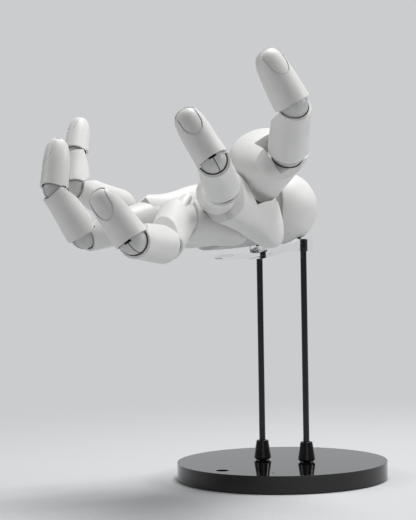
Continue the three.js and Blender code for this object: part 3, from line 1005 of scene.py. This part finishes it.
@dataclass
class Thumb(Finger):
    """The thumb, whose hand bone carries the ball of the thumb."""

    casing: tuple[Span, ...] = (
        (0, -7.4, 7.6, -7.6, 7.6),
        (9, -8, 12, -8.4, 14.5),
        (20, -9.6, 19, -10, 22),
        (29, -11.2, 25, -11, 24.5),
        (35, -12, 26, -11.4, 23),
        (41, -12.6, 24.5, -11.6, 16.5),
        (46, -12.6, 21, -11.4, 9),
        (49, -10, 16, -9, 4),
    )
    roof: float = 36.0
    dish_room: float = 0.6
    dish_reach: float = 40.0
    dish_edge: tuple[float, float, int] = (2.4, 30.0, 5)
    bend: tuple[float, float] = (-6, 46)
    lift: tuple[float, float] = (10, 45)

    def hand_bone(self, name: str) -> Workpiece:
        """Shape the hand bone with its dish for the next bone.

        Args:
            name: Name of the piece.

        Returns:
            The shell in the thumb's frame.
        """
        length = self.lengths[0]
        near, far = self.radii[:2]
        shell = Shell(length, near, far, Hinge.MCP)
        body = added_loft(name, held(self.casing, 0.8), 2.5, 16)
        apex = (0, length - APEX_GAP, 0)
        reach = far + self.dish_room
        half = reach + self.dish_room
        rim = added_bar("rim", half, -half, half, "X", (0, length, 0), 64)
        rim.trim(apex, -leaning(self.roof))
        swept = added_plate("swept", fan(reach, reach, self.dish_reach, *self.bend), -half, half)
        body.cut(rim, swept.move(Matrix.Translation((0, length, 0)))).soften(*self.dish_edge)
        body.cut(added_ball("near_socket", socket_radius(near)))
        shell.trim_near(body)
        body.trim(apex, leaning(-shell.far_behind))
        bore_end = length - knuckle_radius(far) - STEM_LENGTH - FIT
        body.cut(
            added_ball("far_socket", socket_radius(far), (0, length, 0)),
            added_bar("bore", STEM_RADIUS + FIT, bore_end, length),
        )
        body.soften(0.4).hollow(socket_radius(near))
        body.hollow(socket_radius(far), (0, length, 0))
        return body.add(Tongue().body(socket_radius(near) + TONGUE_ROOT))

    def build(self, shop: Workshop, home: Matrix) -> None:
        """Make and place every piece of the thumb."""
        first, second, third = self.lengths
        cmc, mcp, joint, tip = self.radii
        place = self.head(home)
        self.deliver(shop, Knuckle(cmc, self.lift).swivel(self.piece("cmc_ball")), place, "root",
                     GREY_ABS, "cmc_knuckle")
        place = turned(place, (0, 0, 0), ("X", self.flex[0]))
        self.deliver(shop, self.hand_bone(self.piece("hand_bone_shell")), place, "hand_bone",
                     WHITE_ABS, "metacarpal")
        place = turned(place, (0, first, 0))
        self.deliver(shop, Knuckle(mcp, self.bend).hinge(self.piece("mcp_ball")), place,
                     "hand_bone", GREY_ABS, "mcp_knuckle")
        place = turned(place, (0, 0, 0), ("X", self.flex[1]))
        proximal = Shell(second, mcp, joint, Hinge.THUMB)
        self.deliver(shop, proximal.bone(self.piece("proximal_shell")), place, "first",
                     WHITE_ABS, "proximal")
        place = turned(place, (0, second, 0))
        ball = Knuckle(joint, Hinge.THUMB.bend, proximal.stem_length(), seam=False)
        self.deliver(shop, ball.hinge(self.piece("ip_ball")), place, "first",
                     GREY_ABS, "ip_knuckle")
        place = turned(place, (0, 0, 0), ("X", self.flex[2]))
        self.deliver(shop, Fingertip(third, joint, tip, Hinge.THUMB).shape(
            self.piece("distal_shell")), place, "tip", WHITE_ABS, "distal")


def held(spans: Sequence[Span], gap: float) -> list[Span]:
    """Repeat the end sections a little way in, so that smoothing keeps the ends crisp.

    Args:
        spans: Sections of a loft.
        gap: Distance of the repeats, in millimetres.

    Returns:
        The sections with the two repeats.
    """
    low, high = spans[0], spans[-1]
    share_low = gap / (spans[1][0] - low[0])
    share_high = gap / (high[0] - spans[-2][0])
    after = tuple(a + (b - a) * share_low for a, b in zip(low, spans[1]))
    before = tuple(a + (b - a) * share_high for a, b in zip(high, spans[-2]))
    return [low, after, *spans[1:-1], before, high]


# The hand


@dataclass
class Palm:
    """A grey core with the wrist's tongue, and a casing for each hand bone."""

    fingers: tuple[Finger, ...]
    thumb: Thumb
    clear_radius: float = 21.9
    hinge: tuple[float, float, float] = (0, 52, -5)
    lug_radius: float = 3.2
    lug_room: float = 1.1
    lug_reach: float = 12.0
    pin_radius: float = 1.4
    pin_reach: float = 2.6
    bore_end: float = 60.0
    tongue_root: float = 4.0
    roof: float = 58.0
    lugs: dict[Digit, tuple[float, float]] = field(
        default_factory=lambda: {Digit.RING: (12.5, 16.5), Digit.LITTLE: (25.5, 29.5)}
    )
    core: tuple[Span, ...] = (
        (20, -7.8, 14, -19, 1),
        (28, -7.8, 22, -19, 1),
        (44, -7.8, 33, -17, 1),
    )
    saddle: tuple[Span, ...] = (
        (-15.6, -8, 8, -7, 8),
        (-9, -9.2, 9.2, -8.6, 9),
        (0, -9.2, 9.2, -8.6, 9),
    )
    saddle_cut: float = 32.0
    sweep: tuple[tuple[float, float, float], tuple[float, float, float]] = (
        (-15, -2, -9.8),
        (27, 60, 60),
    )
    sweep_tilt: float = 12.0
    casings: dict[Digit, tuple[Span, ...]] = field(
        default_factory=lambda: {
            Digit.INDEX: (
                (24.6, -16.6, -8.2, -18.5, 6.5),
                (30.5, -21.4, -8.2, -25, 7),
                (42, -26.5, -8.4, -27, 5.5),
                (53, -30, -9.4, -22, 8),
                (68, -33, -11.6, -16, 15),
                (88, -34, -13.4, -11, 14),
            ),
            Digit.MIDDLE: (
                (44.6, -8.1, 8, -20, 1),
                (62, -10.6, 8.9, -19.5, 6),
                (96, -12.5, 9.7, -16.5, 8.5),
            ),
            Digit.RING: (
                (47.5, 8.4, 20.6, -16, 0),
                (62, 9.3, 25, -16.5, 6),
                (88, 10.1, 31, -14, 9),
            ),
            Digit.LITTLE: (
                (35, 22, 37, 5, 22.5),
                (46, 21.5, 37, 5, 21),
                (47.5, 21, 36.5, -13, 20.5),
                (62, 25.4, 42, -8, 17),
                (84, 31.6, 53.5, -1, 21),
            ),
        }
    )

    def rooted(self, body: Workpiece) -> Workpiece:
        """Move a body from the thumb's root frame to the palm's."""
        return body.move(self.thumb.head(Matrix.Identity(4)))

    def thumb_sweep(self) -> Workpiece:
        """Make the box that the ball of the thumb sweeps."""
        box = added_block("sweep", *self.sweep)
        box.move(Matrix.Rotation(math.radians(self.sweep_tilt), 4, "X"))
        return self.rooted(box)

    def lug(self, digit: Digit, room: float = 0.0) -> Workpiece:
        """Make a lug of the core, or the room that it needs.

        Args:
            digit: Whose hand bone turns on it.
            room: Clearance all round.

        Returns:
            The lug in the palm's frame.
        """
        left, right = self.lugs[digit]
        radius = self.lug_radius + room
        tongue = Tongue(right - left + 2 * room, radius, radius).body(self.lug_reach)
        tongue.move(Matrix.Rotation(math.pi, 4, "Z"))
        return tongue.move(Matrix.Translation(((left + right) / 2, *self.hinge[1:])))

    def core_body(self) -> Workpiece:
        """Shape the core with its lugs, the thumb's saddle and the wrist's tongue."""
        core = added_loft("palm_core_body", held(self.core, 0.8), 5, 16)
        core.cut(self.thumb_sweep())
        saddle = added_loft("saddle", held(self.saddle, 0.8), 3, 16)
        apex = (0, -APEX_GAP, 0)
        for angle, axis in front_planes(self.saddle_cut):
            saddle.trim(apex, leaning(angle, axis))
        # The exact solver loses nearly the whole core here in some runs
        core.combine(self.rooted(saddle), "UNION", "MANIFOLD")
        clear = added_ball("clear", self.clear_radius, around=64, rings=32)
        core.combine(clear, "DIFFERENCE", "MANIFOLD")
        core.soften()
        core.add(WRIST_TONGUE.body(self.clear_radius + self.tongue_root))
        core.cut(self.rooted(SWIVEL.space(self.thumb.radii[0])))
        for digit, (left, right) in self.lugs.items():
            start, end = left - self.pin_reach, right + self.pin_reach
            pin = added_bar("lug_pin", self.pin_radius, start, end, "X", self.hinge)
            core.add(self.lug(digit), pin)
        return core

    def casing(self, finger: Finger) -> Workpiece:
        """Shape the casing of a finger's hand bone.

        Args:
            finger: The finger that it carries.

        Returns:
            The casing in the palm's frame.
        """
        body = added_loft(f"{finger.name}_casing", held(self.casings[finger.digit], 1.0), 2.8, 16)
        head = finger.head(Matrix.Identity(4))
        for angle, axis in front_planes(self.roof):
            normal = head.to_3x3() @ leaning(angle, axis)
            body.trim(head @ Vector((0, -APEX_GAP, 0)), normal)
        body.cut(SWIVEL.space(finger.radii[0]).move(head))
        if finger.digit in self.lugs:
            start, end = -self.pin_reach - 1, self.bore_end
            bore = added_bar("bore", self.pin_radius + FIT, start, end, "X", self.hinge)
            body.cut(self.lug(finger.digit, self.lug_room), bore)
        if finger.digit is Digit.INDEX:
            room = [
                (y - FIT, left - FIT, right + FIT, low - FIT, high + FIT)
                for y, left, right, low, high in self.saddle
            ]
            body.cut(
                added_ball("clear", self.clear_radius, around=64, rings=32),
                self.thumb_sweep(),
                self.rooted(SWIVEL.space(self.thumb.radii[0])),
                self.rooted(added_loft("saddle_room", held(room, 0.8), 3, 16)),
            )
        return body.soften(0.45).hollow(socket_radius(finger.radii[0]), head.to_translation())

    def build(self, shop: Workshop, palm: Matrix) -> None:
        """Make and place the palm and everything that it carries.

        Args:
            shop: Takes the pieces.
            palm: The palm's frame.
        """
        shop.deliver(self.core_body(), palm, "palm", GREY_ABS, "palm_core")
        for finger in self.fingers:
            rider = f"{finger.name}_hand_bone" if finger.digit in self.lugs else "palm"
            shop.deliver(self.casing(finger), palm, rider, WHITE_ABS, f"{finger.name}_metacarpal")
            finger.build(shop, palm)
        self.thumb.build(shop, palm)


def front_planes(palmar: float) -> list[tuple[float, str]]:
    """List the planes before a swivel knuckle that the next bone swings through."""
    swing = SWIVEL.limit + 3
    return [(swing, "Z"), (-swing, "Z"), (palmar, "X"), (-BACK_ROOM, "X")]


@dataclass
class Wrist:
    """A hollow dome fixed on the cradle, with a ball held inside it."""

    at: tuple[float, float, float] = (1.7, -0.4, 154)
    turn: float = 164.9
    pitch: float = 11.0
    roll: float = 13.1
    swing: float = -3.0
    flex: float = -13.0
    radius: float = 21.0
    wall: float = 2.2
    mouth: float = 7.0
    dome_turn: float = -30.7
    gap: float = 1.1
    bend: tuple[float, float] = (-30, 30)
    pin_radius: float = 1.8
    pin_reach: float = 5.5

    def frame(self) -> Matrix:
        """Return the dome's frame."""
        turns = (("Z", self.turn), ("X", self.pitch), ("Y", self.roll))
        return turned(Matrix.Identity(4), self.at, *turns)

    def ball_frame(self) -> Matrix:
        """Return the ball's frame."""
        return turned(self.frame(), (0, 0, 0), ("Z", self.swing))

    def palm_frame(self) -> Matrix:
        """Return the palm's frame."""
        return turned(self.ball_frame(), (0, 0, 0), ("X", self.flex))

    def dome(self) -> Workpiece:
        """Shape the dome: a ball sliced open and hollowed."""
        dome = added_ball("wrist_dome_shell", self.radius, around=96, rings=48)
        dome.trim((0, self.mouth, 0), Vector((0, 1, 0)))
        inside = added_ball("inside", self.radius - self.wall, around=64, rings=32)
        dome.cut(inside).soften(0.4).hollow(self.radius - self.wall)
        return dome.move(Matrix.Rotation(math.radians(self.dome_turn), 4, "Z"))

    def ball(self) -> Workpiece:
        """Shape the ball with its slot and the pin across it."""
        radius = self.radius - self.wall - self.gap
        ball = added_ball("wrist_ball_body", radius, around=80, rings=40)
        ball.cut(WRIST_TONGUE.slot(SLOT_REACH * radius, *self.bend)).soften(0.3)
        return ball.add(added_bar("pin", self.pin_radius, -self.pin_reach, self.pin_reach, "X"))

    def build(self, shop: Workshop) -> None:
        """Make and place the dome and the ball."""
        shop.deliver(self.dome(), self.frame(), "stand", WHITE_ABS, "wrist_dome")
        shop.deliver(self.ball(), self.ball_frame(), "wrist_ball", GREY_ABS, "wrist_ball")


# The stand


@dataclass
class Stand:
    """A gloss black disc with two rods in sockets and a clear cradle on top."""

    radius: float = 60.0
    height: float = 9.5
    wall: float = 2.4
    ceiling: float = 6.9
    spare_hole: tuple[float, float] = (-16.8, -47)
    spare_radius: float = 3.5
    dimple: tuple[float, float] = (12.9, -46.8)
    dimple_radius: float = 0.9
    dimple_depth: float = 0.8
    rods: dict[str, float] = field(default_factory=lambda: {"far": -11.9, "near": 15.0})
    rod_radius: float = 1.75
    rod_seat: float = 1.5
    rod_top: float = 136.0
    cone: tuple[float, float, float] = (5.0, 3.4, 11.0)
    cone_foot: float = 0.8
    cradle_depth: float = 6.0
    cradle_side: float = 1.8
    cradle_heights: tuple[float, float] = (129.0, 137.0)
    cradle_arm: tuple[tuple[float, float], ...] = (
        (0, 129), (24, 125), (50, 125), (52, 126.1), (48, 127.7), (26, 128.4), (6, 134),
    )

    def rod_hole(self, x: float, start: float) -> Workpiece:
        """Make the hole for a rod from a height up."""
        return added_bar("hole", self.rod_radius + FIT, start, self.rod_top + FIT, "Z", (x, 0, 0))

    def disc(self) -> Workpiece:
        """Shape the disc, hollow underneath, with its holes."""
        disc = added_bar("base_disc_body", self.radius, 0, self.height, "Z", sides=192)
        above, floor = self.height + 1.5, self.height - self.dimple_depth
        disc.cut(
            added_bar("hollow", self.radius - self.wall, -1, self.ceiling, "Z", sides=128),
            added_bar("spare", self.spare_radius, -1, above, "Z", (*self.spare_hole, 0), 48),
            added_bar("dimple", self.dimple_radius, floor, above, "Z", (*self.dimple, 0), 24),
        )
        for x in self.rods.values():
            disc.cut(self.rod_hole(x, self.height - self.rod_seat - FIT))
        return disc.soften(0.35, segments=3)

    def socket(self, name: str, x: float) -> Workpiece:
        """Shape a rod's tapered socket with a narrow foot.

        Args:
            name: Name of the piece.
            x: Place of the rod.

        Returns:
            The socket.
        """
        bottom, top, height = self.cone
        foot = self.height + FIT
        step = self.cone_foot
        cone = added_bar(name, bottom, foot + step, foot + height, "Z", (x, 0, 0), 64)
        with cone.editing() as mesh:
            for face in mesh.faces:
                face.select_set(face.normal.z > 0.9)
            ratio = top / bottom
            bpy.ops.transform.resize(value=(ratio, ratio, 1), center_override=(x, 0, 0))
        with cone.editing() as mesh:
            for face in mesh.faces:
                face.select_set(face.normal.z < -0.9)
            bpy.ops.mesh.inset(thickness=step)
            bpy.ops.mesh.extrude_region_move(TRANSFORM_OT_translate={"value": (0, 0, -step)})
        return cone.cut(self.rod_hole(x, 0)).soften(0.3, segments=3)

    def cradle(self) -> Workpiece:
        """Shape the clear block dished for the dome, with an arm under the palm."""
        low, top = self.cradle_heights
        reach = self.rod_radius + self.cradle_side
        depth = self.cradle_depth
        block = added_block("clear_cradle_body", (self.rods["far"] - reach, -depth, low),
                            (self.rods["near"] + reach, depth, top))
        arm = added_plate("arm", self.cradle_arm, -depth, depth)
        wrist = Wrist()
        block.add(arm.move(Matrix.Rotation(math.radians(wrist.turn), 4, "Z")))
        block.cut(added_ball("dish", wrist.radius + 2 * FIT, wrist.at, 64, 32))
        for x in self.rods.values():
            block.cut(self.rod_hole(x, 0))
        return block.soften(0.3, 35, 2)

    def build(self, shop: Workshop) -> None:
        """Make and place the stand."""
        here = Matrix.Identity(4)
        shop.deliver(self.disc(), here, "stand", BLACK_ACRYLIC, "base_disc")
        for side, x in self.rods.items():
            rod = added_bar(f"{side}_rod_body", self.rod_radius, self.height - self.rod_seat,
                            self.rod_top, "Z", (x, 0, 0), 40)
            shop.deliver(rod.soften(0.25), here, "stand", BLACK_ENAMEL, f"{side}_rod")
            socket = self.socket(f"{side}_socket_cone", x)
            shop.deliver(socket, here, "stand", BLACK_ABS, f"{side}_rod_socket")
        shop.deliver(self.cradle(), here, "stand", CLEAR_ACRYLIC, "clear_cradle")
        shop.dress(FOAM_RUBBER, "base_pad")
        shop.dress(GROUND_STEEL, "base_weight")


# Studio


@dataclass
class Studio:
    """The camera at the photograph's angle, a pale floor and soft lamps."""

    eye: tuple[float, float, float] = (-40.59, -802.39, 121.49)
    pitch: float = 0.0042935
    roll: float = -0.0157429
    heading: float = 24.1
    focal_px: float = 1400.0
    frame_px: tuple[int, int] = (416, 520)
    sensor: float = 36.0
    floor: str = "#cbccce"
    depth: float = 3.0
    bow: float = 1.2
    shadow_reach: tuple[float, float] = (0.1, 0.55)
    air: str = "#e6e6e6"
    air_strength: float = 0.18
    aim: tuple[float, float, float] = (0, 0, 0.15)
    # Name, place in metres, side of the square in metres, power in watts
    lamps: tuple[tuple[str, tuple[float, float, float], float, float], ...] = (
        ("overhead_softbox", (0.2, 0.1, 1.3), 0.6, 15.5),
        ("left_softbox", (-1.2, -0.1, 0.8), 0.5, 3.6),
        ("right_softbox", (1.2, -0.1, 0.7), 0.4, 6),
        ("front_fill", (0.2, -1.4, 0.6), 0.8, 1),
    )

    def camera(self) -> None:
        """Add the camera."""
        turn = Matrix.Rotation(math.radians(self.heading), 4, "Z")
        aim = Matrix.Rotation(math.pi / 2 + self.pitch, 4, "X")
        place = turn @ Matrix.Translation(Vector(self.eye) * MM) @ aim
        bpy.ops.object.camera_add()
        camera = bpy.context.object
        camera.name = "studio_camera"
        camera.matrix_world = place @ Matrix.Rotation(self.roll, 4, "Z")
        camera.data.sensor_fit = "VERTICAL"
        camera.data.sensor_height = self.sensor
        camera.data.lens = self.focal_px / self.frame_px[1] * self.sensor
        bpy.context.scene.camera = camera

    def backdrop(self) -> None:
        """Add a floor that sweeps up behind the object."""
        bpy.ops.mesh.primitive_plane_add(size=2 * self.depth, location=(0, 0, -0.0005))
        sweep = Workpiece("studio_sweep")
        with sweep.editing("EDGE") as mesh:
            for edge in mesh.edges:
                edge.select_set(all(vertex.co.y > 0.1 for vertex in edge.verts))
            bpy.ops.mesh.extrude_region_move(TRANSFORM_OT_translate={"value": (0, 0, self.depth)})
        with sweep.editing("EDGE") as mesh:
            for edge in mesh.edges:
                inner = all(v.co.y > 0.1 and v.co.z < 0.1 for v in edge.verts)
                edge.select_set(inner)
            bpy.ops.mesh.bevel(offset=self.bow, segments=24, affect="EDGES")
        sweep.move(Matrix.Rotation(math.radians(self.heading), 4, "Z"))
        sweep.activate()
        bpy.ops.object.shade_smooth()
        sweep.obj.data.materials.append(self.paper())

    def paper(self) -> bpy.types.Material:
        """Make the pale paper: it takes shadows near the object and is even further out."""
        material = bpy.data.materials.new("pale_background_paper")
        material.use_nodes = True
        tree = material.node_tree
        shader = tree.nodes["Principled BSDF"]
        shader.inputs["Base Color"].default_value = linear(self.floor)
        shader.inputs["Roughness"].default_value = 0.9
        glow = add_node(tree, "ShaderNodeEmission", {"Color": linear(self.floor)})
        ray = add_node(tree, "ShaderNodeLightPath").outputs
        seen = add_node(tree, "ShaderNodeMath",
                        {0: ray["Is Camera Ray"], 1: ray["Is Glossy Ray"]}, operation="MAXIMUM")
        seen = add_node(tree, "ShaderNodeMath",
                        {0: seen.outputs[0], 1: ray["Is Transmission Ray"]}, operation="MAXIMUM")
        place = add_node(tree, "ShaderNodeTexCoord").outputs["Object"]
        reach = add_node(tree, "ShaderNodeVectorMath", {0: place}, operation="LENGTH")
        near, far = self.shadow_reach
        far = add_node(tree, "ShaderNodeMapRange",
                       {"Value": reach.outputs["Value"], "From Min": near, "From Max": far},
                       interpolation_type="SMOOTHSTEP")
        share = add_node(tree, "ShaderNodeMath",
                         {0: seen.outputs[0], 1: far.outputs["Result"]}, operation="MULTIPLY")
        mixed = add_node(tree, "ShaderNodeMixShader", {
            0: share.outputs[0], 1: shader.outputs["BSDF"], 2: glow.outputs["Emission"]})
        output = tree.nodes["Material Output"]
        tree.links.new(mixed.outputs["Shader"], output.inputs["Surface"])
        return material

    def lamp(self, name: str, place: Sequence[float], size: float, power: float) -> None:
        """Add a square soft lamp that points at the hand.

        Args:
            name: Name of the lamp.
            place: Where it stands, in metres, in the camera's heading.
            size: Side of its square, in metres.
            power: Power in watts.
        """
        turn = Matrix.Rotation(math.radians(self.heading), 4, "Z")
        spot = turn @ Vector(place)
        bpy.ops.object.light_add(type="AREA", location=spot)
        lamp = bpy.context.object
        lamp.name = name
        lamp.data.shape = "SQUARE"
        lamp.data.size = size
        lamp.data.energy = power
        aim = Vector(self.aim) - spot
        lamp.rotation_euler = aim.to_track_quat("-Z", "Y").to_euler()

    def world(self) -> None:
        """Fill the room with a low even light."""
        world = bpy.data.worlds.new("studio_air")
        bpy.context.scene.world = world
        world.use_nodes = True
        background = world.node_tree.nodes["Background"]
        background.inputs["Color"].default_value = linear(self.air)
        background.inputs["Strength"].default_value = self.air_strength

    def build(self) -> None:
        """Set up the camera, the backdrop and the light."""
        self.camera()
        self.backdrop()
        for name, place, size, power in self.lamps:
            self.lamp(name, place, size, power)
        self.world()
        bpy.context.scene.view_settings.view_transform = "Standard"


FINGERS = (
    Finger(Digit.INDEX, (-23.1, 86.1, 1), (45.1, 27.1, 27.4), (9.7, 9.1, 8, 7.2),
           20, 20.4, 20, (-11.3, 24.2, 62.8)),
    Finger(Digit.MIDDLE, (-3.7, 94.5, -3.4), (45, 31.7, 29), (9.6, 9.4, 8.5, 7.2),
           3, 18.6, 11.9, (-29.6, 28.4, 65.9),
           ((0.4, -12.6, -5, 2.6, 8.4), (5, -11, -4, 2, 8.4), (11, -9, -3, 1, 7.2))),
    Finger(Digit.RING, (21, 84.1, 0.3), (46.7, 28.2, 27.5), (9.6, 8.6, 7.4, 6.6),
           -10, -1.1, -5.7, (-4, 69.2, 40.9)),
    Finger(Digit.LITTLE, (44, 79.4, 11.6), (36.9, 20.2, 22.9), (8.6, 7.6, 6.7, 5.9),
           -16, 5.8, 12.4, (24.3, 85.6, 4.5)),
)
THUMB = Thumb(Digit.THUMB, (-12.6, 29.9, 6.8), (44.9, 32.4, 30.8), (8, 10.6, 9.6, 8),
              65.4, 21.4, 0, (16, 19.8, 47.3))


def main() -> None:
    """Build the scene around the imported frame."""
    logging.basicConfig(level=logging.INFO, format="%(message)s")
    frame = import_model()
    bpy.ops.object.select_all(action="DESELECT")
    shop = Workshop()
    wrist = Wrist()
    Stand().build(shop)
    wrist.build(shop)
    Palm(FINGERS, THUMB).build(shop, wrist.palm_frame())
    pins = [name for name in frame["nodes"] if name.endswith("_pin")]
    shop.dress(GROUND_STEEL, *pins)
    Studio().build()


if __name__ == "__main__":
    main()
